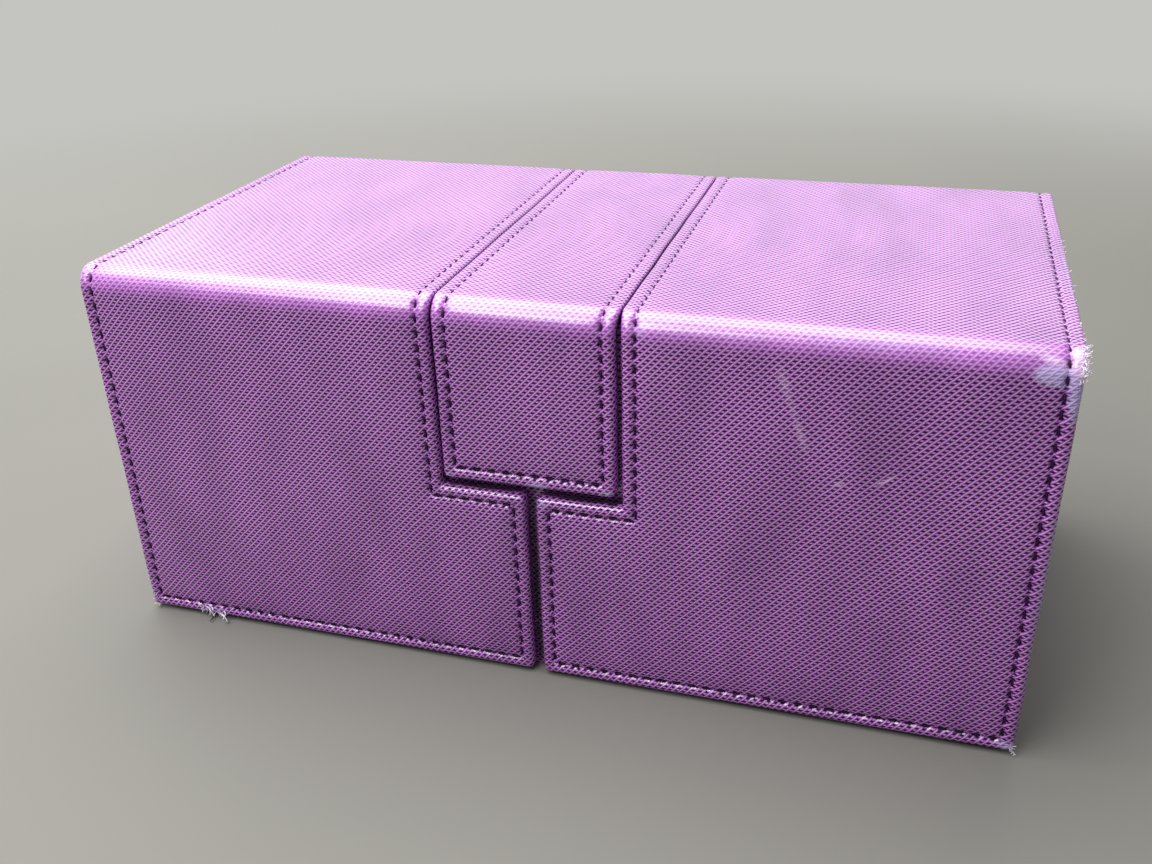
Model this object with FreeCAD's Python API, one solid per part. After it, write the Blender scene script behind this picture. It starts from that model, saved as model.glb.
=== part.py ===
import FreeCAD, Part
import os
from math import cos, pi, sin

from FreeCAD import Vector

# Trading card deck box: a board case under two hinged lids and a closing strap, with a drawer in each end.
# Millimetres, +Z up, +X to the right, front at -Y. The origin is the middle of the underside.

# Overall size with everything shut
width = 225.0
depth = 115.0
height = 98.0

# Sheet stock
skin_t = 1.0  # embossed cover sheet
board_t = 2.0  # grey board in the case and the lids
lining_t = 0.8  # microfibre behind the lids and in the compartments
tray_board_t = 1.5  # thinner board of the drawers
tray_lining_t = 0.6

# Hems, stitch channels and folds of the lids and the strap
hem_w = 3.1  # from the edge to the stitch line
hem_r = 1.4  # rounding of a turned edge
channel_w = 0.9
channel_d = 0.4
lid_corner_r = 2.0
tab_corner_r = 1.6
fold_r = 5.0  # outside of the fold between a top and its front
fold_room = 1.5  # from a fold line to the end of a board
board_room = 0.3  # round a board inside its hem

# Lids and strap as they lie when shut
strap_w = 42.0
tab_drop = 44.5  # from the top down to the tab's lower edge
tab_gap = 2.2  # under the tab
strap_gap = 0.8  # beside the strap
centre_gap = 2.2  # between the lids under the tab
foot_gap = 0.8  # lower edges of the lids over the table
seat_gap = 0.2  # lids over the rim of the case
front_gap = 0.4  # lid fronts before the case front
end_inset = 2.5  # ends of the case behind the ends of the lids

# Closing magnets and their steel keepers
magnet_d = 12.0
magnet_t = 1.6
magnet_room = 0.1  # round a magnet or a keeper in its pocket
keeper_t = 1.0
magnet_edge = 24.0  # from the lid's sides
magnet_rise = 16.0  # from the lid's lower edge
tab_magnet_rise = 14.0  # from the tab's lower edge

# Case and drawers
card_room = 68.5  # clear height over the floor of a card compartment
rim_r = 0.8  # rounding of the cover sheet at the rim and the ends
tray_room = 0.3  # under and over a drawer
tray_side_room = 0.4
tray_end_room = 1.0
pull_w = 16.0
pull_l = 13.0
pull_t = 1.2
pull_corner_r = 6.0
pull_top = 2.5  # from the drawer's top edge to the pull

# For the cuts, and for telling edges apart
overrun = 1.0
tolerance = 0.001
turn_share = 0.9  # largest edge rounding as a share of the corner or sheet that carries it
ease_share = 0.6  # bevel at the ends of a fold as a share of the rounding of the hems beside it

# Lid planes
panel_t = skin_t + board_t + lining_t
hinge_r = panel_t + seat_gap
turned_t = skin_t + skin_t
edge_r = min(hem_r, tab_corner_r * turn_share, lid_corner_r * turn_share, turned_t * turn_share)
front_y = -depth / 2
back_y = depth / 2
fold_y = front_y + fold_r
fold_z = height - fold_r
hinge_y = back_y - hinge_r
rim_z = height - hinge_r
lid_end = width / 2
strap_half = strap_w / 2
lid_side = strap_half + strap_gap
lid_centre = centre_gap / 2
tab_z = height - tab_drop
notch_z = tab_z - tab_gap
top_l = hinge_y - fold_y

# Case planes
case_end = lid_end - end_inset
wall_end = case_end - skin_t
room_end = wall_end - board_t
case_front_y = front_y + panel_t + front_gap
board_front_y = case_front_y + skin_t
room_front_y = board_front_y + board_t
board_back_y = back_y - skin_t
room_back_y = board_back_y - board_t
base_z = skin_t + board_t
floor_z = rim_z - card_room - lining_t
shelf_z = floor_z - board_t
divider_half = board_t / 2
board_rim_z = rim_z - skin_t
skin_rim_r = min(rim_r, skin_t * turn_share)

# Drawer planes, for the left one
tray_back = -divider_half - tray_end_room
tray_front = skin_t + board_t - case_end
tray_y0 = room_front_y + tray_side_room
tray_y1 = room_back_y - tray_side_room
tray_z0 = base_z + tray_room
tray_z1 = shelf_z - tray_room


def block(x0, x1, y0, y1, z0, z1):
    """Box between two opposite corners."""
    return Part.makeBox(x1 - x0, y1 - y0, z1 - z0, Vector(x0, y0, z0))


def rounded_face(points, radii):
    """Flat face inside an outline of square corners, each with its own rounding."""
    edges = []
    starts = []
    ends = []
    arcs = []
    for i, (corner, radius) in enumerate(zip(points, radii)):
        to_last = (points[i - 1] - corner).normalize()
        to_next = (points[(i + 1) % len(points)] - corner).normalize()
        starts.append(corner + to_last * radius)
        ends.append(corner + to_next * radius)
        inward = to_last + to_next
        middle = corner + inward * radius - inward.normalize() * radius
        arcs.append(Part.Arc(starts[i], middle, ends[i]).toShape() if radius else None)
    for i, arc in enumerate(arcs):
        edges.append(Part.makeLine(ends[i - 1], starts[i]))
        if arc:
            edges.append(arc)
    return Part.Face(Part.Wire(edges))


def square_face(points):
    """Flat face inside an outline with sharp corners."""
    return rounded_face(points, [0] * len(points))


def pillars(spots, diameter, thickness, z):
    """Upright discs on the given spots, from z up."""
    return [Part.makeCylinder(diameter / 2, thickness, spot + Vector(0, 0, z)) for spot in spots]


# Each panel lies flat while it is made: outer face up at z = 0, and the fold to its neighbour at y = 0.


def lid_front_points(inset, past_fold=0):
    """Front of the left lid: an upright rectangle with the notch for the tab cut from its inner top corner."""
    left = inset - lid_end
    low_right = -lid_centre - inset
    high_right = -lid_side - inset
    foot = foot_gap + inset - fold_z
    notch = notch_z - inset - fold_z
    return [
        Vector(left, foot),
        Vector(low_right, foot),
        Vector(low_right, notch),
        Vector(high_right, notch),
        Vector(high_right, past_fold),
        Vector(left, past_fold),
    ]


def lid_top_points(inset, past_fold=0):
    """Top of the left lid, between the front fold and the hinge."""
    left = inset - lid_end
    right = -lid_side - inset
    return [
        Vector(left, -past_fold),
        Vector(right, -past_fold),
        Vector(right, top_l + past_fold),
        Vector(left, top_l + past_fold),
    ]


def tab_points(inset, past_fold=0):
    """Tab of the strap, below the front fold."""
    side = strap_half - inset
    foot = tab_z + inset - fold_z
    return [
        Vector(-side, foot),
        Vector(side, foot),
        Vector(side, past_fold),
        Vector(-side, past_fold),
    ]


def strap_top_points(inset, past_fold=0):
    """Top of the strap, between the front fold and the hinge."""
    side = strap_half - inset
    return [
        Vector(-side, -past_fold),
        Vector(side, -past_fold),
        Vector(side, top_l + past_fold),
        Vector(-side, top_l + past_fold),
    ]


def is_hem_edge(edge, fold_lines):
    """Whether an edge of a flat panel runs along a hem, and not up its side or along a fold."""
    box = edge.BoundBox
    if box.ZLength > tolerance:
        return False
    return all(max(abs(box.YMin - line), abs(box.YMax - line)) > tolerance for line in fold_lines)


def panel_skin(points, radii, fold_lines):
    """Cover sheet of a panel, turned in along its hems, with a channel for the stitches."""
    blank = rounded_face(points(0), radii).extrude(Vector(0, 0, -panel_t))
    hems = [edge for edge in blank.Edges if is_hem_edge(edge, fold_lines)]
    blank = blank.makeFillet(edge_r, hems)
    hollow = square_face(points(hem_w, overrun)).extrude(Vector(0, 0, -panel_t))
    hollow.translate(Vector(0, 0, -skin_t))
    outer = square_face(points(hem_w - channel_w / 2, overrun))
    inner = square_face(points(hem_w + channel_w / 2, overrun + overrun))
    channel = outer.cut(inner).extrude(Vector(0, 0, -channel_d))
    return blank.cut([hollow, channel])


def panel_board(points, magnet_spots):
    """Grey board inside a panel, with a pocket for each magnet in its inner face."""
    board = square_face(points(hem_w + board_room, -fold_room)).extrude(Vector(0, 0, -board_t))
    board.translate(Vector(0, 0, -skin_t))
    if not magnet_spots:
        return board
    pocket_d = magnet_d + magnet_room + magnet_room
    return board.cut(pillars(magnet_spots, pocket_d, magnet_t, -skin_t - board_t))


def panel_lining(points):
    """Microfibre that closes the inner face of a panel, flush with the turned hem."""
    lining = square_face(points(hem_w + board_room, -fold_room)).extrude(Vector(0, 0, -lining_t))
    return lining.translated(Vector(0, 0, lining_t - panel_t))


def upright(shape):
    """Hangs a flat panel down from the front fold."""
    return shape.rotated(Vector(0, 0, 0), Vector(1, 0, 0), 90).translated(Vector(0, front_y, fold_z))


def level(shape):
    """Lays a flat panel on top of the case."""
    return shape.translated(Vector(0, fold_y, height))


def quarter_tube(x0, x1, side, centre, outer_r, inner_r):
    """Quarter of a tube along X, from straight up to straight out on the given side of its centre."""

    def spot(radius, turn):
        return centre + Vector(x0, side * radius * sin(turn), radius * cos(turn))

    outer = Part.Arc(spot(outer_r, 0), spot(outer_r, pi / 4), spot(outer_r, pi / 2)).toShape()
    inner = Part.Arc(spot(inner_r, 0), spot(inner_r, pi / 4), spot(inner_r, pi / 2)).toShape()
    low = Part.makeLine(spot(outer_r, pi / 2), spot(inner_r, pi / 2))
    high = Part.makeLine(spot(inner_r, 0), spot(outer_r, 0))
    face = Part.Face(Part.Wire(Part.sortEdges([outer, low, inner, high])[0]))
    return face.extrude(Vector(x1 - x0, 0, 0))


def bent_skin(x0, x1, side, centre, radius):
    """Cover sheet round a fold, of double thickness where the side hems run over it."""
    sheet = quarter_tube(x0, x1, side, centre, radius, radius - skin_t)
    hem_0 = quarter_tube(x0, x0 + hem_w, side, centre, radius, radius - turned_t)
    hem_1 = quarter_tube(x1 - hem_w, x1, side, centre, radius, radius - turned_t)
    skin = sheet.fuse([hem_0, hem_1]).removeSplitter()
    rims = []
    for edge in skin.Edges:
        is_arc = isinstance(edge.Curve, Part.Circle) and edge.BoundBox.XLength < tolerance
        if is_arc and abs(edge.Curve.Radius - radius) < tolerance:
            rims.append(edge)
    return skin.makeChamfer(edge_r * ease_share, rims)


def tongue(name, front, x0, x1, top_points, front_points, front_radii, magnet_spots):
    """One lid or the strap: top panel, front panel, the fold between them and the hinge fold at the back."""
    flat_spots = [Vector(spot.x, spot.z - fold_z) for spot in magnet_spots]
    magnets = pillars(flat_spots, magnet_d, magnet_t, -skin_t - board_t)
    fold_centre = Vector(0, fold_y, fold_z)
    hinge_centre = Vector(0, hinge_y, rim_z)
    return {
        name + "_top_skin": level(panel_skin(top_points, [0] * 4, [0, top_l])),
        name + "_top_board": level(panel_board(top_points, [])),
        name + "_top_lining": level(panel_lining(top_points)),
        name + "_hinge": bent_skin(x0, x1, 1, hinge_centre, hinge_r),
        name + "_fold": bent_skin(x0, x1, -1, fold_centre, fold_r),
        front + "_skin": upright(panel_skin(front_points, front_radii, [0])),
        front + "_board": upright(panel_board(front_points, flat_spots)),
        front + "_lining": upright(panel_lining(front_points)),
        front + "_magnets": upright(Part.makeCompound(magnets)),
    }


# Where the magnets sit, seen from the front
magnet_z = foot_gap + magnet_rise
lid_spots = [
    Vector(magnet_edge - lid_end, 0, magnet_z),
    Vector(-lid_centre - magnet_edge, 0, magnet_z),
]
tab_spots = [Vector(0, 0, tab_z + tab_magnet_rise)]


def left_lid():
    """Left lid with its two magnets."""
    radii = [lid_corner_r, lid_corner_r, lid_corner_r, 0, 0, 0]
    return tongue(
        "left_lid", "left_lid_front", -lid_end, -lid_side, lid_top_points, lid_front_points, radii, lid_spots
    )


def strap():
    """Closing strap, whose tab carries one magnet."""
    radii = [tab_corner_r, tab_corner_r, 0, 0]
    return tongue(
        "strap", "strap_tab", -strap_half, strap_half, strap_top_points, tab_points, radii, tab_spots
    )


def keeper_spots():
    """Places of the keepers in the case front, one behind each magnet."""
    mirrored = [Vector(-spot.x, 0, spot.z) for spot in lid_spots]
    return lid_spots + tab_spots + mirrored


def keepers(diameter):
    """Steel discs let into the outer face of the front board, or the pockets that they lie in."""
    outward = Vector(0, 1, 0)
    discs = []
    for spot in keeper_spots():
        discs.append(Part.makeCylinder(diameter / 2, keeper_t, Vector(spot.x, board_front_y, spot.z), outward))
    return discs


def rounded_edges(shape, radius, wanted):
    """Rounds the straight edges of a shape whose middle point passes the given test."""
    edges = [edge for edge in shape.Edges if wanted(edge.CenterOfMass, edge.BoundBox)]
    return shape.makeFillet(radius, edges)


def case_front():
    """Front board with the keepers' pockets, and the cover sheet turned over its rim and its ends."""
    board = block(-wall_end, wall_end, board_front_y, room_front_y, skin_t, board_rim_z)
    board = board.cut(keepers(magnet_d + magnet_room + magnet_room))
    sheet = block(-case_end, case_end, case_front_y, room_front_y, skin_t, rim_z)
    pocket = block(-wall_end, wall_end, board_front_y, room_front_y + overrun, skin_t - overrun, board_rim_z)
    sheet = sheet.cut(pocket)

    def on_outer_edge(middle, box):
        upright_edge = box.ZLength > tolerance and abs(middle.y - case_front_y) < tolerance
        at_end = abs(abs(middle.x) - case_end) < tolerance
        rim_edge = abs(middle.z - rim_z) < tolerance and abs(middle.y - case_front_y) < tolerance
        return (upright_edge and at_end) or rim_edge

    return {
        "case_front_board": board,
        "case_front_skin": rounded_edges(sheet, skin_rim_r, on_outer_edge),
        "case_keepers": Part.makeCompound(keepers(magnet_d)),
    }


def case_back():
    """Back board, and the back of the cover sheet that carries the hinges, turned over the board's rim and ends."""
    board = block(-wall_end, wall_end, room_back_y, board_back_y, skin_t, board_rim_z)
    sheet = block(-lid_end, lid_end, board_back_y, back_y, foot_gap, rim_z)
    turned = block(-case_end, case_end, room_back_y, board_back_y, skin_t, rim_z)
    pocket = block(-wall_end, wall_end, room_back_y - overrun, board_back_y, skin_t - overrun, board_rim_z)
    hems = [
        block(-lid_end, -case_end, back_y - turned_t, board_back_y, foot_gap, rim_z),
        block(case_end, lid_end, back_y - turned_t, board_back_y, foot_gap, rim_z),
    ]
    skin = sheet.fuse([turned.cut(pocket)] + hems).removeSplitter()

    def on_outer_edge(middle, box):
        at_end = abs(abs(middle.x) - lid_end) < tolerance and box.ZLength > tolerance
        return at_end and abs(middle.y - back_y) < tolerance

    return {
        "case_back_board": board,
        "case_back_skin": rounded_edges(skin, edge_r, on_outer_edge),
    }


def case_wall():
    """Left end wall over the drawer's mouth: board, and cover sheet turned in at the rim and at the mouth."""
    low = shelf_z + skin_t
    board = block(-wall_end, -room_end, room_front_y, room_back_y, low, board_rim_z)
    sheet = block(-case_end, -room_end, room_front_y, room_back_y, shelf_z, rim_z)
    pocket = block(-wall_end, overrun - room_end, room_front_y - overrun, room_back_y + overrun, low, board_rim_z)
    sheet = sheet.cut(pocket)

    def on_outer_edge(middle, box):
        return box.YLength > tolerance and abs(middle.x + case_end) < tolerance

    return {
        "case_left_wall_board": board,
        "case_left_wall_skin": rounded_edges(sheet, skin_rim_r, on_outer_edge),
    }


def case_lining():
    """Soft tub of the left card compartment, with a flange over half of the divider's top."""
    tub = block(-room_end, -divider_half, room_front_y, room_back_y, floor_z, rim_z)
    hollow = block(
        lining_t - room_end,
        -divider_half - lining_t,
        room_front_y + lining_t,
        room_back_y - lining_t,
        floor_z + lining_t,
        rim_z + overrun,
    )
    flange = block(-divider_half, 0, room_front_y, room_back_y, rim_z - lining_t, rim_z)
    return {"case_left_lining": tub.cut(hollow).fuse(flange).removeSplitter()}


def case_inside():
    """Base, shelf, divider and drawer partition, and the sheet under the base turned up at the drawer mouths."""
    sole = block(-case_end, case_end, case_front_y, board_back_y, 0, skin_t)
    sills = [
        block(-case_end, -wall_end, room_front_y, room_back_y, skin_t, base_z),
        block(wall_end, case_end, room_front_y, room_back_y, skin_t, base_z),
    ]
    return {
        "case_base_skin": sole.fuse(sills).removeSplitter(),
        "case_base_board": block(-wall_end, wall_end, room_front_y, room_back_y, skin_t, base_z),
        "case_shelf": block(-room_end, room_end, room_front_y, room_back_y, shelf_z, floor_z),
        "case_divider": block(
            -divider_half, divider_half, room_front_y, room_back_y, floor_z, rim_z - lining_t
        ),
        "case_bay_partition": block(-divider_half, divider_half, room_front_y, room_back_y, base_z, shelf_z),
    }


def left_drawer():
    """Left drawer: a board tray with a soft lining, a covered front and a pull strip sewn to it."""
    face_x = skin_t - case_end
    wall_z = tray_z0 + tray_board_t
    inner_back = tray_back - tray_board_t
    front_board = block(
        face_x, tray_front, tray_y0 + skin_t, tray_y1 - skin_t, tray_z0 + skin_t, tray_z1 - skin_t
    )
    front_skin = block(-case_end, tray_front, tray_y0, tray_y1, tray_z0, tray_z1)
    pocket = block(
        face_x, tray_front + overrun, tray_y0 + skin_t, tray_y1 - skin_t, tray_z0 + skin_t, tray_z1 - skin_t
    )
    front_skin = front_skin.cut(pocket)
    sides = [
        block(tray_front, inner_back, tray_y0, tray_y0 + tray_board_t, wall_z, tray_z1),
        block(tray_front, inner_back, tray_y1 - tray_board_t, tray_y1, wall_z, tray_z1),
    ]
    tub_y0 = tray_y0 + tray_board_t
    tub_y1 = tray_y1 - tray_board_t
    tub = block(tray_front, inner_back, tub_y0, tub_y1, wall_z, tray_z1)
    hollow = block(
        tray_front + tray_lining_t,
        inner_back - tray_lining_t,
        tub_y0 + tray_lining_t,
        tub_y1 - tray_lining_t,
        wall_z + tray_lining_t,
        tray_z1 + overrun,
    )

    def on_face_edge(middle, box):
        return abs(middle.x + case_end) < tolerance and box.XLength < tolerance

    return {
        "left_drawer_front_skin": rounded_edges(front_skin, skin_rim_r, on_face_edge),
        "left_drawer_front_board": front_board,
        "left_drawer_bottom": block(tray_front, tray_back, tray_y0, tray_y1, tray_z0, wall_z),
        "left_drawer_sides": Part.makeCompound(sides),
        "left_drawer_back": block(inner_back, tray_back, tray_y0, tray_y1, wall_z, tray_z1),
        "left_drawer_lining": tub.cut(hollow),
        "left_drawer_pull": drawer_pull(),
    }


def drawer_pull():
    """Short strip that hangs flat on the left drawer's front, with a round lower end."""
    half = pull_w / 2
    outline = [Vector(-half, -pull_l), Vector(half, -pull_l), Vector(half, 0), Vector(-half, 0)]
    strip = rounded_face(outline, [pull_corner_r, pull_corner_r, 0, 0]).extrude(Vector(0, 0, -pull_t))
    strip = strip.rotated(Vector(0, 0, 0), Vector(1, 1, 1), 120)
    middle_y = (tray_y0 + tray_y1) / 2
    return strip.translated(Vector(-case_end, middle_y, tray_z1 - pull_top))


def mirrored(nodes):
    """The right-hand twins of left-hand pieces."""
    twins = {}
    for name, shape in nodes.items():
        twins[name.replace("left", "right")] = shape.mirror(Vector(0, 0, 0), Vector(1, 0, 0))
    return twins


def all_nodes():
    """Every piece of the box, by name."""
    left = {}
    for pieces in (left_lid(), left_drawer(), case_wall(), case_lining()):
        left.update(pieces)
    nodes = {}
    for pieces in (case_inside(), case_front(), case_back(), strap(), left, mirrored(left)):
        nodes.update(pieces)
    return nodes


os.makedirs("parts", exist_ok=True)
for node, shape in all_nodes().items():
    shape.exportStep("parts/" + node + ".step")
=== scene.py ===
import math
import random

import bmesh
import bpy
from mathutils import Euler, Matrix, Vector, noise


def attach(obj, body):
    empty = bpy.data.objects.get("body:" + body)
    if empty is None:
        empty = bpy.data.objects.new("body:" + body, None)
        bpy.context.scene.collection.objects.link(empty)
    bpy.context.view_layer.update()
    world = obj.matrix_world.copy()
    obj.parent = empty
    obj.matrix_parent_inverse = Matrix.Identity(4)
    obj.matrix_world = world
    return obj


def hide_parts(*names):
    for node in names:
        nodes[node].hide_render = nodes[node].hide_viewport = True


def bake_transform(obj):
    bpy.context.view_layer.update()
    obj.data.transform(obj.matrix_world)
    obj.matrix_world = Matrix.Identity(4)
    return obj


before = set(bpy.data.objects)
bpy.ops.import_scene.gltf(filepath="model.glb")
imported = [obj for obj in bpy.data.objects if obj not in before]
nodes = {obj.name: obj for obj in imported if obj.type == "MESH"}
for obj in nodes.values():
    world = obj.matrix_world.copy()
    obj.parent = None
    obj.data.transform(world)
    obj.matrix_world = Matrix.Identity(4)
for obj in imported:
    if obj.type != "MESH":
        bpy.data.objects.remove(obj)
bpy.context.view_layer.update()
mm = 0.001


# Grey board: pressed paper board, cut flat and glued up into the case, the drawers and the stiffening of the
# lids. It only shows at bare edges inside the drawer bay, as a dull grey with short fibres in it.


def colour(code):
    """A colour written as sRGB hex, as the linear values that the shaders take."""
    parts = [int(code[i : i + 2], 16) / 255 for i in (1, 3, 5)]
    return [c / 12.92 if c <= 0.04045 else ((c + 0.055) / 1.055) ** 2.4 for c in parts] + [1.0]


def add(tree, kind, sockets=None, **settings):
    """Adds a node with its settings. A socket is given a value, or the output that it links from."""
    made = tree.nodes.new(kind)
    for name, value in settings.items():
        setattr(made, name, value)
    for name, value in (sockets or {}).items():
        if isinstance(value, bpy.types.NodeSocket):
            tree.links.new(value, made.inputs[name])
        else:
            made.inputs[name].default_value = value
    return made


def set_ramp(ramp, stops):
    """Puts colour stops, as (place, hex), on a colour ramp and returns its colour output."""
    band = ramp.color_ramp
    while len(band.elements) < len(stops):
        band.elements.new(0.5)
    for element, (place, code) in zip(band.elements, stops):
        element.position = place
        element.color = colour(code)
    return ramp.outputs["Color"]


def start_material(name, **shader_values):
    """A material with its shader set to the values that are the same all over it."""
    made = bpy.data.materials.new(name)
    made.use_nodes = True
    shader = made.node_tree.nodes["Principled BSDF"]
    for socket, value in shader_values.items():
        shader.inputs[socket.replace("_", " ")].default_value = value
    return made, made.node_tree, shader


def dress(names, material):
    """Gives CAD nodes a material."""
    for name in names:
        slots = nodes[name].data.materials
        slots.clear()
        slots.append(material)


def make_grey_board():
    """Grey chipboard: matt, flecked with paler and darker fibres a millimetre or two long."""
    made, tree, shader = start_material("grey_chipboard", Roughness=0.9)
    place = add(tree, "ShaderNodeTexCoord").outputs["Object"]
    fibre_length = 1.6 * mm
    fleck = {"Vector": place, "Scale": 1 / fibre_length, "Detail": 4.0}
    flecks = add(tree, "ShaderNodeTexNoise", fleck).outputs["Fac"]
    ramp = add(tree, "ShaderNodeValToRGB", {"Fac": flecks})
    tone = set_ramp(ramp, [(0.3, "#77746E"), (0.5, "#8E8B84"), (0.72, "#A5A199")])
    tree.links.new(tone, shader.inputs["Base Color"])
    fuzz_height = 0.1 * mm
    fuzz = add(tree, "ShaderNodeBump", {"Height": flecks, "Strength": 0.4, "Distance": fuzz_height})
    tree.links.new(fuzz.outputs["Normal"], shader.inputs["Normal"])
    return made


grey_board = make_grey_board()
board_nodes = [name for name in nodes if name.endswith(("_board", "_bottom", "_sides", "_drawer_back"))]
board_nodes += ["case_shelf", "case_divider", "case_bay_partition"]
dress(board_nodes, grey_board)


# Steel: the keeper discs let into the case front and the magnets let into the lids, stamped and nickel
# plated. They sit behind the cover sheet, so they show only where a section is cut.


def make_plated_steel():
    """Nickel plated steel: a soft bright metal with faint turning marks."""
    made, tree, shader = start_material("nickel_plated_steel", Metallic=1.0)
    place = add(tree, "ShaderNodeTexCoord").outputs["Object"]
    mark_width = 0.5 * mm
    mark = {"Vector": place, "Scale": 1 / mark_width, "Detail": 2.0}
    marks = add(tree, "ShaderNodeTexNoise", mark).outputs["Fac"]
    ramp = add(tree, "ShaderNodeValToRGB", {"Fac": marks})
    tree.links.new(set_ramp(ramp, [(0.3, "#A7A6A2"), (0.7, "#C2C1BD")]), shader.inputs["Base Color"])
    worn = add(tree, "ShaderNodeMapRange", {"Value": marks, "To Min": 0.25, "To Max": 0.4})
    tree.links.new(worn.outputs["Result"], shader.inputs["Roughness"])
    return made


plated_steel = make_plated_steel()
dress([name for name in nodes if name.endswith(("_keepers", "_magnets"))], plated_steel)


# Microfibre: the soft lining of the card compartments, the drawers and the backs of the lids, glued to the
# board. A short brushed nap, dark grey, that shows paler and darker where it has been stroked.


def make_microfibre():
    """Brushed microfibre: no gloss, a pale bloom at a slant, patches of stroked nap and a fine fuzz."""
    made, tree, shader = start_material(
        "brushed_microfibre", Roughness=0.95, Specular_IOR_Level=0.2, Sheen_Weight=0.35, Sheen_Roughness=0.5
    )
    place = add(tree, "ShaderNodeTexCoord").outputs["Object"]
    stroke = 14 * mm
    tuft = 0.6 * mm
    stroked = {"Vector": place, "Scale": 1 / stroke, "Detail": 3.0, "Distortion": 0.6}
    nap = add(tree, "ShaderNodeTexNoise", stroked).outputs["Fac"]
    fuzz = add(tree, "ShaderNodeTexNoise", {"Vector": place, "Scale": 1 / tuft, "Detail": 2.0}).outputs["Fac"]
    fuzz_share = 0.45
    both = {0: fuzz, 1: fuzz_share, 2: nap}
    mixed = add(tree, "ShaderNodeMath", both, operation="MULTIPLY_ADD").outputs["Value"]
    ramp = add(tree, "ShaderNodeValToRGB", {"Fac": mixed})
    tone = set_ramp(ramp, [(0.5, "#2B292E"), (0.72, "#3B383F"), (0.95, "#4B4850")])
    tree.links.new(tone, shader.inputs["Base Color"])
    pile_height = 0.15 * mm
    pile = add(tree, "ShaderNodeBump", {"Height": fuzz, "Strength": 0.5, "Distance": pile_height})
    tree.links.new(pile.outputs["Normal"], shader.inputs["Normal"])
    return made


microfibre = make_microfibre()
lining_nodes = [side + "_lining" for side in ("case_left", "case_right", "left_drawer", "right_drawer")]
dress(lining_nodes, microfibre)


# Cover sheet on the case: purple leather-look sheet, a coated backing pressed hot with a woven relief, glued
# over the boards and turned in at their rims. It also covers the drawer fronts and makes the pull strips.

ridge_pitch = 1.165
ridge_angle = math.radians(46)
rung_pitch = ridge_pitch / math.sqrt(2)
rung_angle = ridge_angle - math.radians(45)
relief_height = 0.26 * mm
facing_front = Euler((math.radians(-90), 0, 0))
facing_end = Matrix(((0, 1, 0), (0, 0, 1), (1, 0, 0))).to_euler()


def fade_marks(tree, flat, marks):
    """Where marks lie on a sheet. A mark is given as its place, its half length and half width, its turn in
    degrees and its strength, and fades out to its edge."""
    any_depth = 1000
    total = 0.0
    for x, v, half_along, half_across, turn, strength in marks:
        spot = {"Vector": flat, "Location": (x, v, 0), "Scale": (half_along, half_across, any_depth)}
        spot["Rotation"] = (0, 0, math.radians(turn))
        own = add(tree, "ShaderNodeMapping", spot, vector_type="TEXTURE").outputs["Vector"]
        fade = add(tree, "ShaderNodeTexGradient", {"Vector": own}, gradient_type="SPHERICAL").outputs["Fac"]
        share = {0: fade, 1: strength, 2: total}
        total = add(tree, "ShaderNodeMath", share, operation="MULTIPLY_ADD").outputs["Value"]
    return total


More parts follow.
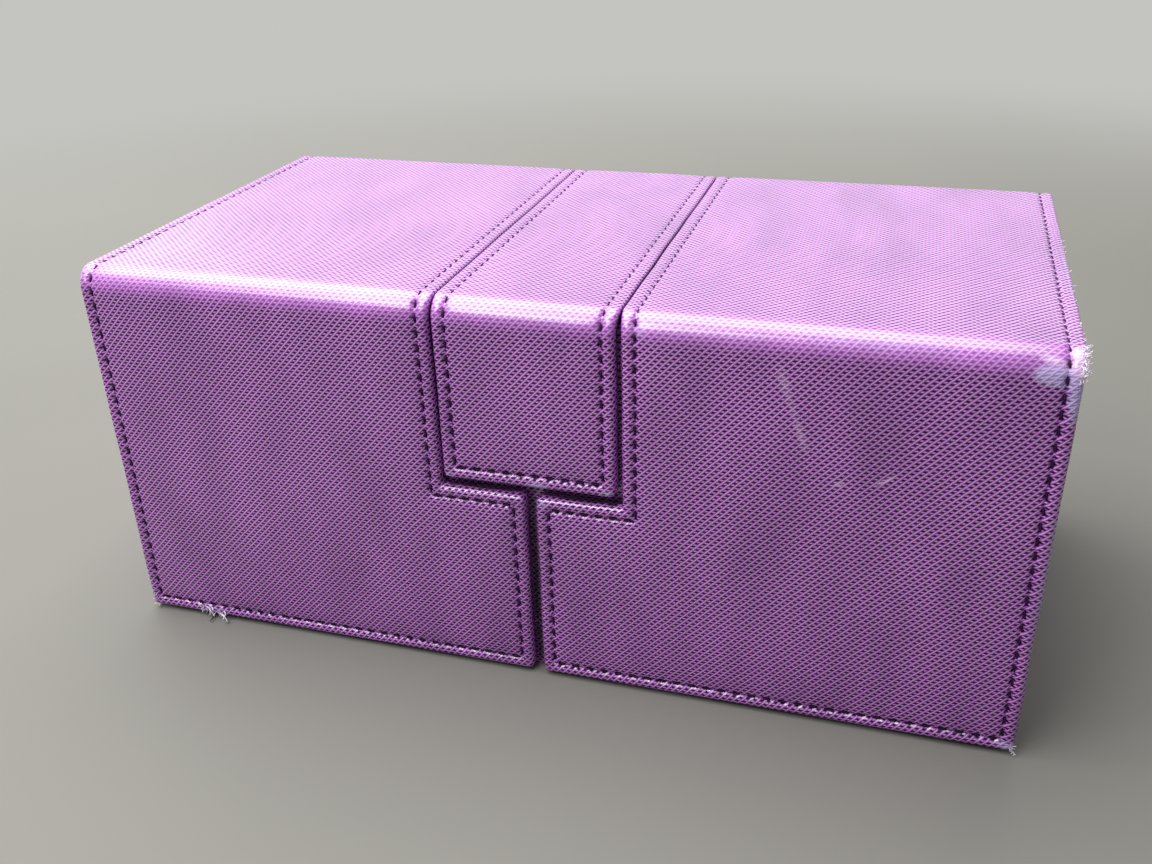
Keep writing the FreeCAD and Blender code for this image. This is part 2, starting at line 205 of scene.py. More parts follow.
def make_cover_sheet(name, rubs_and_rim_highlight=(), scratches=(), painted_shade=(), bend=None, on_boards=False):
    """Embossed leather-look sheet: raised diagonal ridges, joined by lower rungs that swell midway, with a
    pit in each gap. Its tone follows the relief: the pits are painted near black as painted shade, the ridge
    crests near white as a painted highlight, and the sheet's purple lies between. Its coat has a soft gloss,
    so the folds and the ridges catch the light. Rubbed places show the bluish base, ridges first, and a long
    rub down an end edge is partly a painted rim highlight. Scratches are filled with pale dust, and painted
    shade darkens the slits and the edges beside the strap's tab. Over a bend the relief is pulled flatter and
    up to a pale level, a painted highlight along the fold. on_boards lays the pattern square on each side of
    a boxy piece. Without that it follows the sheet's own flat pattern round the folds."""
    made, tree, shader = start_material(
        name, Specular_IOR_Level=0.2, IOR=1.5, Coat_IOR=2.0, Coat_Roughness=0.3
    )
    place = add(tree, "ShaderNodeTexCoord").outputs
    source = place["Object"] if on_boards else add(tree, "ShaderNodeUVMap", uv_map="flat").outputs["UV"]
    to_mm = (1000, 1000, 1000)
    flat = add(tree, "ShaderNodeMapping", {"Vector": source, "Scale": to_mm}).outputs["Vector"]
    if on_boards:
        in_mm = flat
        half_turned = 0.71
        faces = add(tree, "ShaderNodeSeparateXYZ", {"Vector": place["Normal"]}).outputs
        for axis, turn in (("Y", facing_front), ("X", facing_end)):
            turned = add(tree, "ShaderNodeMapping", {"Vector": in_mm, "Rotation": turn}).outputs["Vector"]
            size = add(tree, "ShaderNodeMath", {0: faces[axis]}, operation="ABSOLUTE").outputs["Value"]
            facing = {0: size, 1: half_turned}
            square_on = add(tree, "ShaderNodeMath", facing, operation="GREATER_THAN").outputs["Value"]
            laid = {"Factor": square_on, "A": flat, "B": turned}
            flat = add(tree, "ShaderNodeMix", laid, data_type="VECTOR").outputs["Result"]

    diagonal = {"Vector": flat, "Rotation": (0, 0, -ridge_angle)}
    diagonal = add(tree, "ShaderNodeMapping", diagonal).outputs["Vector"]
    level = {"Vector": flat, "Rotation": (0, 0, -rung_angle)}
    level = add(tree, "ShaderNodeMapping", level).outputs["Vector"]
    # A band texture of scale 1 repeats every 2 pi / 20.
    wave_turn = 2 * math.pi / 20
    uneven = {"Distortion": 0.6, "Detail": 1.0, "Detail Scale": 0.9}
    ridge_wave = uneven | {"Vector": diagonal, "Scale": wave_turn / ridge_pitch}
    rung_wave = uneven | {"Vector": level, "Scale": wave_turn / rung_pitch}
    ridge = add(tree, "ShaderNodeTexWave", ridge_wave, bands_direction="Y").outputs["Fac"]
    ripple = add(tree, "ShaderNodeTexWave", ridge_wave, bands_direction="X").outputs["Fac"]
    rungs = add(tree, "ShaderNodeTexWave", rung_wave, bands_direction="Y").outputs["Fac"]
    ripple_height = 0.22
    rung_height = 0.76
    lift = add(tree, "ShaderNodeMath", {0: ripple, 1: ripple_height}, operation="MULTIPLY").outputs["Value"]
    raised = {0: rungs, 1: rung_height, 2: lift}
    rung = add(tree, "ShaderNodeMath", raised, operation="MULTIPLY_ADD").outputs["Value"]
    narrowing = 1.3
    line = add(tree, "ShaderNodeMath", {0: ridge, 1: narrowing}, operation="POWER").outputs["Value"]
    groove = {"Value": ridge, "From Min": 0.25, "From Max": 0.7, "To Min": 1.0, "To Max": 0.55}
    beside = add(tree, "ShaderNodeMapRange", groove, interpolation_type="SMOOTHSTEP").outputs["Result"]
    bead = add(tree, "ShaderNodeMath", {0: rung, 1: beside}, operation="MULTIPLY").outputs["Value"]
    rounding = 0.18
    joined = {0: line, 1: bead, 2: rounding}
    relief = add(tree, "ShaderNodeMath", joined, operation="SMOOTH_MAX").outputs["Value"]
    if bend is not None:
        start, end = bend
        middle, half = (start + end) / 2, (end - start) / 2
        round_fold = {"Vector": flat, "Location": (0, middle, 0), "Scale": (1, half, 1)}
        own = add(tree, "ShaderNodeMapping", round_fold, vector_type="TEXTURE").outputs["Vector"]
        over = add(tree, "ShaderNodeSeparateXYZ", {"Vector": own}).outputs["Y"]
        off = add(tree, "ShaderNodeMath", {0: over}, operation="ABSOLUTE").outputs["Value"]
        tight = {"Value": off, "From Min": 0.6, "From Max": 1.4, "To Min": 0.6, "To Max": 0.0}
        pull = add(tree, "ShaderNodeMapRange", tight).outputs["Result"]
        # Over the fold the relief is pulled flatter and up to a high level, whose pale tone paints a
        # highlight along the fold.
        pulled_and_highlight_height = 0.85
        pulled = {"Factor": pull, "A": relief, "B": pulled_and_highlight_height}
        relief = add(tree, "ShaderNodeMix", pulled, data_type="FLOAT").outputs["Result"]

    ramp = add(tree, "ShaderNodeValToRGB", {"Fac": relief})
    # The lowest stop paints near-black shade into the pits and the top stop paints a near-white highlight on
    # the ridge crests; the stops between are the sheet's purple.
    stops = [(0.15, "#28003E"), (0.31, "#58167A"), (0.48, "#8838A8"), (0.75, "#B058CA"), (0.95, "#F8ACFF")]
    tone = set_ramp(ramp, stops)
    patch_size = (16, 40, 1000)
    smear = {"Vector": flat, "Scale": patch_size}
    smeared = add(tree, "ShaderNodeMapping", smear, vector_type="TEXTURE").outputs["Vector"]
    patch = {"Vector": smeared, "Scale": 1.0, "Detail": 4.0}
    patches = add(tree, "ShaderNodeTexNoise", patch).outputs["Fac"]
    ramp = add(tree, "ShaderNodeValToRGB", {"Fac": patches})
    toned = {"Factor": 1.0, "A": tone, "B": set_ramp(ramp, [(0.3, "#D6CFDA"), (0.7, "#FFFFFF")])}
    tone = add(tree, "ShaderNodeMix", toned, data_type="RGBA", blend_type="MULTIPLY").outputs["Result"]

    grit = 2.2
    rough = {"Vector": flat, "Scale": 1 / grit, "Detail": 5.0, "Roughness": 0.7}
    broken = add(tree, "ShaderNodeTexNoise", rough).outputs["Fac"]
    # Each kind of wear, and the painted shade in the slits, has its marks, its colour and how much sooner it
    # takes the ridges. The rubs' pale colour also paints a rim highlight down the left end, and the
    # near-black colour is painted shade.
    wear_and_shade = ((rubs_and_rim_highlight, "#D4BEFF", 0.4), (scratches, "#EEC8FC", 0.1), (painted_shade, "#0C0212", 0.0))
    for marks, wear_and_shade_colour, by_relief in wear_and_shade:
        if not marks:
            continue
        where = fade_marks(tree, flat, marks)
        high = {0: relief, 1: by_relief, 2: broken}
        easily = add(tree, "ShaderNodeMath", high, operation="MULTIPLY_ADD").outputs["Value"]
        wear_and_shade_reach = add(tree, "ShaderNodeMath", {0: where, 1: easily}, operation="MULTIPLY").outputs["Value"]
        wear_and_shade_range = {"Value": wear_and_shade_reach, "From Min": 0.2, "From Max": 0.75, "To Max": 0.9}
        share = add(tree, "ShaderNodeMapRange", wear_and_shade_range).outputs["Result"]
        wear_and_shade_mix = {"Factor": share, "A": tone, "B": colour(wear_and_shade_colour)}
        tone = add(tree, "ShaderNodeMix", wear_and_shade_mix, data_type="RGBA").outputs["Result"]
    tree.links.new(tone, shader.inputs["Base Color"])
    gloss = {"Value": relief, "To Min": 0.6, "To Max": 0.36}
    tree.links.new(add(tree, "ShaderNodeMapRange", gloss).outputs["Result"], shader.inputs["Roughness"])
    coat = {"Value": relief, "From Min": 0.3, "From Max": 0.72}
    tree.links.new(add(tree, "ShaderNodeMapRange", coat).outputs["Result"], shader.inputs["Coat Weight"])
    pressed = add(tree, "ShaderNodeBump", {"Height": relief, "Strength": 1.0, "Distance": relief_height})
    tree.links.new(pressed.outputs["Normal"], shader.inputs["Normal"])
    return made


# A thin line of painted shade lies on the case front, behind the slit between the two lids.
front_painted_shade = [(-0.5, 24, 1.4, 62, 0, 2)]
dress(["case_front_skin"], make_cover_sheet("cover_sheet_front", painted_shade=front_painted_shade, on_boards=True))
case_sheet = make_cover_sheet("cover_sheet_case", on_boards=True)
sheet_nodes = ["case_base_skin", "case_left_wall_skin", "case_right_wall_skin"]
sheet_nodes += [side + "_drawer_" + piece for side in ("left", "right") for piece in ("front_skin", "pull")]
dress(sheet_nodes, case_sheet)


# The sheet of the two lids and the strap: three tongues of the same leather-look sheet, each folded over the
# front of the case and hinged at the back. Each is wrapped round its boards, turned in all round and sewn.

front_y = -57.5
back_y = 57.5
top_z = 98.0
fold_r = 5.0
hinge_r = 4.0
foot_z = 0.8
lid_end = 112.5
lid_side = 21.8
lid_centre = 1.1
strap_half = 21.0
notch_z = 51.3
tab_z = 53.5
panel_t = 3.8
fold_t = 1.9
fold_room = 1.5
hem = 3.1
stitch = 3.6
corner_r = 2.0
fold_y = front_y + fold_r
fold_z = top_z - fold_r
hinge_y = back_y - hinge_r
rim_z = top_z - hinge_r
fold_v = fold_r * math.pi / 2
hinge_v = fold_v + hinge_y - fold_y
back_v = hinge_v + hinge_r * math.pi / 2
foot_v = foot_z - fold_z
notch_v = notch_z - fold_z
tab_v = tab_z - fold_z
back_foot_v = back_v + rim_z - foot_z


def lay(x, v, n):
    """Where a point of the flat sheet, n above its face, lies once the sheet is folded over the box."""
    if v < 0:
        y, z = front_y - n, fold_z + v
    elif v < fold_v:
        y = fold_y - (fold_r + n) * math.cos(v / fold_r)
        z = fold_z + (fold_r + n) * math.sin(v / fold_r)
    elif v < hinge_v:
        y, z = fold_y + v - fold_v, top_z + n
    elif v < back_v:
        y = hinge_y + (hinge_r + n) * math.sin((v - hinge_v) / hinge_r)
        z = rim_z + (hinge_r + n) * math.cos((v - hinge_v) / hinge_r)
    else:
        y, z = back_y + n, rim_z - (v - back_v)
    return Vector((x, y, z)) * mm


def rule(marks, step):
    """Lines at the marks, with each gap between two marks divided into equal steps."""
    marks = sorted({round(mark, 4) for mark in marks})
    lines = []
    for a, b in zip(marks, marks[1:]):
        count = math.ceil((b - a) / step - 0.001)
        lines += [a + (b - a) * i / count for i in range(count)]
    return lines + marks[-1:]


def cut_blank(x_lines, v_lines, inset=0.0):
    """A flat blank, ruled at the lines, with the strap's notch cut out of it where it is a lid's."""
    blank = bmesh.new()
    nx, nv = len(x_lines) - 1, len(v_lines) - 1
    bmesh.ops.create_grid(blank, x_segments=nx, y_segments=nv, size=1)
    for vert in blank.verts:
        i, j = round((vert.co.x + 1) / 2 * nx), round((vert.co.y + 1) / 2 * nv)
        vert.co = (x_lines[i], v_lines[j], 0)
    if x_lines[0] > 0 or x_lines[-1] < 0:
        middles = [(face, face.calc_center_median()) for face in blank.faces]
        side, low = lid_side + inset, notch_v - inset
        notch = [face for face, middle in middles if abs(middle.x) < side and middle.y > low]
        bmesh.ops.delete(blank, geom=notch, context="FACES")
    return blank


def double_blank(blank):
    """Gives a flat blank a second layer, its back, and returns that layer's vertices."""
    doubled = bmesh.ops.extrude_face_region(blank, geom=blank.faces[:])
    return {vert for vert in doubled["geom"] if isinstance(vert, bmesh.types.BMVert)}


def seam_at(seams, x, v):
    """Distance from the hemmed edge at a point of the blank, how near a needle hole it is, from -1 to 1, and
    the way out over that edge."""
    nearest = (1000.0, 0.0, (0.0, 0.0))
    for group in seams:
        inside = (-1000.0, 0.0, (0.0, 0.0))
        for (x0, v0), (x1, v1) in group:
            length = math.hypot(x1 - x0, v1 - v0)
            ux, uv = (x1 - x0) / length, (v1 - v0) / length
            edge = hem - (x - x0) * uv + (v - v0) * ux
            along = (x - x0) * ux + (v - v0) * uv
            beat = math.cos(2 * math.pi * along * round(length / stitch) / length)
            inside = max(inside, (edge, beat, (uv, -ux)))
        nearest = min(nearest, inside)
    return nearest


def top_share(v):
    """How far round the front fold a point is: 0 on the front, 1 on the top."""
    t = min(max(v / fold_v, 0.0), 1.0)
    return t * t * (3 - 2 * t)


def fold_share(v):
    """How far into the front fold a point is: 1 in the fold, where there is no board, and 0 over a board."""
    off = abs(v - fold_v / 2) - fold_v / 2
    return min(max(1 - off / fold_room, 0.0), 1.0)


hem_roll = 1.2
roll_lost = 0.75
roll_drop = 1.3
bulge_lost = 0.6
hem_swell = 0.35
channel_half = 0.5
hole_narrows = 0.1
stitch_pull = 0.62
hole_ease = 0.34
field_rise = 0.5
field_reach = 2.2


def hem_face(edge, beat, pressed):
    """Height of the sheet's face: it rolls over at its edge, swells over the turned hem, is drawn in under
    each stitch, less so between two, and stands up again beyond. All of it is pressed flatter on top."""
    height = 0.0
    roll = hem_roll - roll_lost * pressed
    if edge < roll:
        height -= roll_drop * roll * (1 - math.sqrt(max(0.0, 1 - ((roll - edge) / roll) ** 2)))
    bulge = 1 - bulge_lost * pressed
    if edge < hem:
        height += hem_swell * bulge * math.sin(math.pi * max(edge, 0.0) / hem)
    width = channel_half - hole_narrows * beat
    height -= (stitch_pull - hole_ease * beat) * bulge * math.exp(-(((edge - hem) / width) ** 2))
    if edge > hem:
        height += field_rise * bulge * (1 - math.exp(-(edge - hem) / field_reach))
    return height


turned_t = 2.3
turned_w = hem + 0.4
least_round = 0.2


def hem_back(edge, thick, recess):
    """Height of the sheet's back: the turned hem, then a step down to where the lining is let in."""
    height = -thick
    if edge < hem_roll:
        rounding = 1 - math.sqrt(max(0.0, 1 - ((hem_roll - edge) / hem_roll) ** 2))
        height += max(thick - turned_t, least_round) * rounding
    if edge > turned_w:
        height += recess
    return height


def round_corner(x, v, corners):
    """Eases an outer corner of a blank, given as its place and the way to its middle, to a round."""
    for cx, cv, sx, sv in corners:
        p = 1 - (x - cx) * sx / corner_r
        q = 1 - (v - cv) * sv / corner_r
        if p > 0 and q > 0:
            rp, rq = p * math.sqrt(1 - q * q / 2), q * math.sqrt(1 - p * p / 2)
            return cx + sx * corner_r * (1 - rp), cv + sv * corner_r * (1 - rq)
    return x, v


def finish_mesh(work, name, material, sharp=1.0):
    """Turns a bmesh into a piece with its faces outward, smooth apart from edges sharper than an angle."""
    bmesh.ops.recalc_face_normals(work, faces=work.faces[:])
    for face in work.faces:
        face.smooth = True
    for edge in work.edges:
        edge.smooth = edge.calc_face_angle(0.0) < sharp
    mesh = bpy.data.meshes.new(name)
    work.to_mesh(mesh)
    work.free()
    mesh.materials.append(material)
    piece = bpy.data.objects.new(name, mesh)
    bpy.context.scene.collection.objects.link(piece)
    return piece


hem_rings = [0, 0.14, 0.38, 0.7, 1.1, 1.5, 1.9, 2.25, 2.55, 2.8]
hem_rings += [3.0, 3.15, 3.33, 3.53, 3.78, 4.13, 4.6, 5.3, 6.4, 8.2]
hem_band = hem_rings[-1]


def near(edge, way):
    """Places of the hem's rings beside an edge, on the side that way says."""
    return [edge + way * ring for ring in hem_rings]


slit_give = 0.2
slit_reach = 3


def slit_ease(x, v, edge):
    """How far a hem beside a slit eases out towards its neighbour on top, where the two nearly touch."""
    if abs(x) > lid_side + slit_reach:
        return 0.0
    ease = slit_give * top_share(v) * max(0.0, 1 - max(edge, 0.0) / slit_reach)
    of_strap = abs(x) < (strap_half + lid_side) / 2
    return ease if (x > 0) == of_strap else -ease


def divide_hems(blank, seams):
    """Divides the long sides of the squares in the hem's rings, so that each stitch can pucker the hem."""
    edge_at = {vert: seam_at(seams, vert.co.x, vert.co.y)[0] for vert in blank.verts}
    short = stitch / 3
    in_band = hem_band + 0.01
    pucker_cuts = 11
    long_sides = [
        side
        for side in blank.edges
        if side.calc_length() > short and max(edge_at[vert] for vert in side.verts) < in_band
    ]
    bmesh.ops.subdivide_edges(blank, edges=long_sides, cuts=pucker_cuts, use_grid_fill=True)


hem_wrap = 1.8
roll_wrap = 0.6
hem_sway = 0.16
sway_reach = 8
sway_scale = 0.07
side_sway = 7.0
end_sway = 11.0


def sew_sheet(name, x_marks, v_marks, seams, rounds, material, lean=0.0, thick=panel_t, recess=0.6):
    """One sewn piece of the sheet, shaped flat and then folded over the box. Its hems sway a little, its
    front may lean to one side, and its pattern runs on round the turned hems."""
    low_v, high_v = min(v_marks), max(v_marks)
    square = 2 * stitch
    work = cut_blank(rule(x_marks, square), rule(v_marks, square))
    flat = work.loops.layers.uv.new("flat")
    divide_hems(work, seams)
    back = double_blank(work)
    placed = {}
    printed = {}
    for vert in work.verts:
        x, v = vert.co.x, vert.co.y
        edge, beat, (out_x, out_v) = seam_at(seams, x, v)
        inward = max(edge, 0.0)
        if vert in back:
            soft = fold_share(v)
            n = hem_back(edge, thick + (min(thick, fold_t) - thick) * soft, recess)
            wrap = hem_wrap + 2 * inward
        else:
            n = hem_face(edge, beat, top_share(v))
            wrap = -roll_wrap * n if edge < 1 else 0.0
        x, v = round_corner(x, v, rounds)
        sway = hem_sway * max(0.0, 1 - inward / sway_reach)
        x += sway * noise.noise(Vector((x * sway_scale, v * sway_scale, side_sway)))
        if low_v + 1 < v < high_v - 1:
            v += sway * noise.noise(Vector((x * sway_scale, v * sway_scale, end_sway)))
        x += lean * (1 - top_share(v)) + slit_ease(x, v, edge)
        placed[vert] = (x, v, n)
        printed[vert] = Vector((x + out_x * wrap, v + out_v * wrap)) * mm
    for face in work.faces:
        for loop in face.loops:
            loop[flat].uv = printed[loop.vert]
    for vert, (x, v, n) in placed.items():
        vert.co = lay(x, v, n)
    return finish_mesh(work, name, material)


# Thread: bonded polyester, dark purple, sewn by machine along every hem. It is pulled tight, so that each
# stitch lies in a channel of the sheet.


def make_thread():
    """Bonded polyester thread: dark purple, a dull silk shine along it."""
    made, tree, shader = start_material("bonded_thread", Roughness=0.6, Specular_IOR_Level=0.2)
    place = add(tree, "ShaderNodeTexCoord").outputs["Object"]
    ply = 0.35 * mm
    plies = add(tree, "ShaderNodeTexNoise", {"Vector": place, "Scale": 1 / ply, "Detail": 1.0}).outputs["Fac"]
    ramp = add(tree, "ShaderNodeValToRGB", {"Fac": plies})
    tree.links.new(set_ramp(ramp, [(0.35, "#230A2E"), (0.65, "#3D1A4B")]), shader.inputs["Base Color"])
    twist_height = 0.1 * mm
    twist = add(tree, "ShaderNodeBump", {"Height": plies, "Strength": 0.5, "Distance": twist_height})
    tree.links.new(twist.outputs["Normal"], shader.inputs["Normal"])
    return made


thread = make_thread()
stitch_half = stitch * 0.31
stitch_slant = math.radians(5)


def sew_thread(name, seams, zones, lean=0.0):
    """The stitches of a piece, sunk in the channel that they pull. A zone says from which row of the sheet to
    which they are sewn, how thick they show and how deep they lie."""
    work = bmesh.new()
    for (x0, v0), (x1, v1) in [line for group in seams for line in group]:
        length = math.hypot(x1 - x0, v1 - v0)
        count = round(length / stitch)
        pitch = Vector((x1 - x0, v1 - v0, 0)) / count
        places = [Vector((x0, v0, 0)) + pitch * (i + 0.5) for i in range(count)]
        lie = Matrix.Rotation(math.atan2(v1 - v0, x1 - x0) + stitch_slant, 4, "Z")
        for low_v, high_v, radius, depth in zones:
            row = [place for place in places if low_v < place.y < high_v]
            if not row:
                continue
            pose = Matrix.Translation(row[0] + Vector((0, 0, depth))) @ lie
            pose = pose @ Matrix.Diagonal((stitch_half, radius, radius, 1))
            ball = bmesh.ops.create_uvsphere(work, u_segments=6, v_segments=5, radius=1, matrix=pose)
            one = ball["verts"]
            sides = {edge for vert in one for edge in vert.link_edges}
            faces = {face for vert in one for face in vert.link_faces}
            bmesh.ops.spin(
                work,
                geom=one + list(sides) + list(faces),
                axis=(0, 0, 1),
                dvec=pitch,
                angle=0,
                steps=len(row) - 1,
                use_duplicate=True,
            )
    for vert in work.verts:
        vert.co.x += lean * (1 - top_share(vert.co.y))
        vert.co = lay(*vert.co)
    return finish_mesh(work, name, thread, sharp=3.0)


# Left lid, right lid and strap: each tongue is one cut of the sheet with its own wear, sewn along its hems.
# It bends at the front fold, between the board in its top and the board in its front.


def flip(points):
    """Mirrors a stitch line of the left lid to the right one, keeping the field on the same hand."""
    return [(-x, v) for x, v in reversed(points)]


stitch_low = foot_v + hem
stitch_notch = notch_v - hem
stitch_end = back_foot_v - hem
left_x = near(-lid_end, 1) + near(-lid_side, -1) + near(-lid_centre, -1)
fold_steps = 12
fold_rows = [-fold_room, -fold_room / 2]
fold_rows += [fold_v * i / fold_steps for i in range(fold_steps + 1)]
fold_rows += [fold_v + fold_room / 2, fold_v + fold_room]
lid_v = near(foot_v, 1) + near(notch_v, -1) + fold_rows + [hinge_v]
left_seams = [
    [[(hem - lid_end, stitch_end), (hem - lid_end, stitch_low)]],
    [[(hem - lid_end, stitch_low), (-lid_centre - hem, stitch_low)]],
    [[(-lid_centre - hem, stitch_low), (-lid_centre - hem, stitch_notch)]],
    [
        [(-lid_centre - hem, stitch_notch), (-lid_side - hem, stitch_notch)],
        [(-lid_side - hem, stitch_notch), (-lid_side - hem, back_v)],
    ],
]
right_seams = [[flip(line) for line in group] for group in left_seams]
left_rounds = [(-lid_end, foot_v, 1, 1), (-lid_centre, foot_v, -1, 1), (-lid_centre, notch_v, -1, -1)]
right_rounds = [(-cx, cv, -sx, sv) for cx, cv, sx, sv in left_rounds]
strap_x = near(-strap_half, 1) + near(strap_half, -1)
strap_v = near(tab_v, 1) + fold_rows + [hinge_v]
strap_seams = [
    [[(hem - strap_half, back_v), (hem - strap_half, tab_v + hem)]],
    [[(hem - strap_half, tab_v + hem), (strap_half - hem, tab_v + hem)]],
    [[(strap_half - hem, tab_v + hem), (strap_half - hem, back_v)]],
]
strap_rounds = [(-strap_half, tab_v, 1, 1), (strap_half, tab_v, -1, 1)]
front_bend = (0.0, fold_v)
# The long mark down the left end's edge is partly wear and partly a painted rim highlight, where the edge
# roll catches light from behind.
left_rubs_and_rim_highlight = [(-94, -90.8, 7, 2.2, 0, 0.8), (-111.5, -88, 1.5, 12, 0, 0.7), (-112.4, -40, 1.1, 75, 0, 1.6)]
left_scratches = [(-33, 32, 9, 0.9, 60, 0.5), (-62, 70, 14, 1.2, 25, 0.35), (-70, -42, 0.8, 0.6, 0, 0.9)]
slit_depth = 2.2
slit_v = (notch_v + hinge_v) / 2
# Painted shade: dark marks down the slit beside the strap and the gap between the lids, and a painted shadow
# along the notch's edge under the strap's tab.
left_painted_shade = [
    (slit_depth - lid_side, slit_v, slit_depth, 97, 0, 4),
    (slit_depth - lid_centre, (foot_v + notch_v) / 2, slit_depth, 34, 0, 4),
    (-(lid_side + lid_centre) / 2, notch_v + slit_depth, 14, slit_depth, 0, 4),
]
sheet_left = make_cover_sheet("cover_sheet_left", left_rubs_and_rim_highlight, left_scratches, left_painted_shade, front_bend)
right_rubs = [
    (75, 3.5, 45, 4.5, 0, 0.4),
    (107.5, 0.2, 5.5, 2.8, 0, 2.2),
    (112.5, -3, 3.2, 8, 0, 2.2),
    (112.6, -45, 2.8, 55, 0, 0.6),
    (110.5, -90.5, 4, 2.5, 0, 1.0),
    (113, 50, 2.8, 50, 0, 0.8),
    (3.4, -43.2, 2.4, 2.6, 0, 0.8),
    (26, 2, 5, 4, 0, 0.5),
]
right_scratches = [
    (112.2, 3.4, 3.2, 5.0, 0, 2.4),
    (106.8, 3.2, 4.6, 1.5, -10, 1.5),
    (56.6, -6.3, 8.5, 2.4, -70, 0.85),
    (60.6, -17.5, 9.5, 2.0, -70, 0.85),
    (69.2, -28.4, 2.4, 1.0, 25, 1.2),
    (78.4, -26.4, 4.6, 0.9, 33, 1.2),
    (50.7, -57, 4, 1.2, 80, 0.5),
    (84.6, -46, 1.2, 0.6, 60, 0.8),
    (41, 62.2, 1.6, 0.8, 0, 0.9),
    (66, 66, 2.6, 0.6, 60, 0.8),
]
# The same painted shade on the right lid, mirrored.
right_painted_shade = [(-x, *mark) for x, *mark in left_painted_shade]
sheet_right = make_cover_sheet("cover_sheet_right", right_rubs, right_scratches, right_painted_shade, front_bend)
strap_rubs = [(2.2, -38.6, 4.5, 1.6, 0, 1.3), (18.8, -38.5, 3, 2, 0, 0.9), (-19.5, -38.6, 2, 1.6, 0, 0.9)]
# Painted shade down both sides of the strap, and along the bottom edge of its tab.
strap_painted_shade = [
    (-strap_half - slit_depth, slit_v, slit_depth, 97, 0, 4),
    (strap_half + slit_depth, slit_v, slit_depth, 97, 0, 4),
    (0, tab_v - slit_depth, 26, slit_depth, 0, 4),
]
strap_scratches = [(18.3, -39.5, 2.6, 0.7, -8, 2.6)]
sheet_strap = make_cover_sheet("cover_sheet_strap", strap_rubs, strap_scratches, strap_painted_shade, front_bend)
# How thick the stitches show, and how high they lie, on the front, on top and on the back of the sheet.
front_thread = (0.32, -0.42)
top_thread = (0.2, -0.22)
back_thread = (0.3, 0.15 - panel_t)
front_bodies = {"left_lid": "left_lid_front", "right_lid": "right_lid_front", "strap": "strap_tab"}
right_lean = 0.2
tab_lean = -0.25
tongues = {
    "left_lid": (left_x, lid_v, left_seams, left_rounds, sheet_left, 0.0),
    "right_lid": ([-x for x in left_x], lid_v, right_seams, right_rounds, sheet_right, right_lean),
    "strap": (strap_x, strap_v, strap_seams, strap_rounds, sheet_strap, tab_lean),
}
for tongue, (x_marks, v_marks, seams, rounds, material, lean) in tongues.items():
    cover = sew_sheet(tongue + "_cover", x_marks, v_marks, seams, rounds, material, lean)
    front_body = front_bodies[tongue]
    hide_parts(tongue + "_top_skin", tongue + "_fold", front_body + "_skin")
    zones = [(foot_v, fold_v / 2, *front_thread), (fold_v / 2, hinge_v, *top_thread)]
    zones += [(foot_v, -fold_room, *back_thread), (fold_v + fold_room, hinge_v, *back_thread)]
    stitches = sew_thread(tongue + "_thread", seams, zones, lean)
    for piece in (cover, stitches):
        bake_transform(piece)


# Frayed places: where the sheet has worn through at a corner or a hem, its undyed polyester backing stands
# out in short pale fibres, and a few torn strands of it trail from the foot of the left lid.


def make_backing_fibre():
    """Polyester backing: fine undyed fibres, matt, greyer where dust clings to them."""
    made, tree, shader = start_material("polyester_backing_fibre", Roughness=0.8, Specular_IOR_Level=0.3)
    place = add(tree, "ShaderNodeTexCoord").outputs["Object"]
    clump = 1.5 * mm
    dust = add(tree, "ShaderNodeTexNoise", {"Vector": place, "Scale": 1 / clump, "Detail": 2.0})
    ramp = add(tree, "ShaderNodeValToRGB", {"Fac": dust.outputs["Fac"]})
    tone = set_ramp(ramp, [(0.35, "#DCCDE8"), (0.6, "#FFFAFF")])
    tree.links.new(tone, shader.inputs["Base Color"])
    return made


backing_fibre = make_backing_fibre()
fibre_r = 0.07
strand_r = 0.2
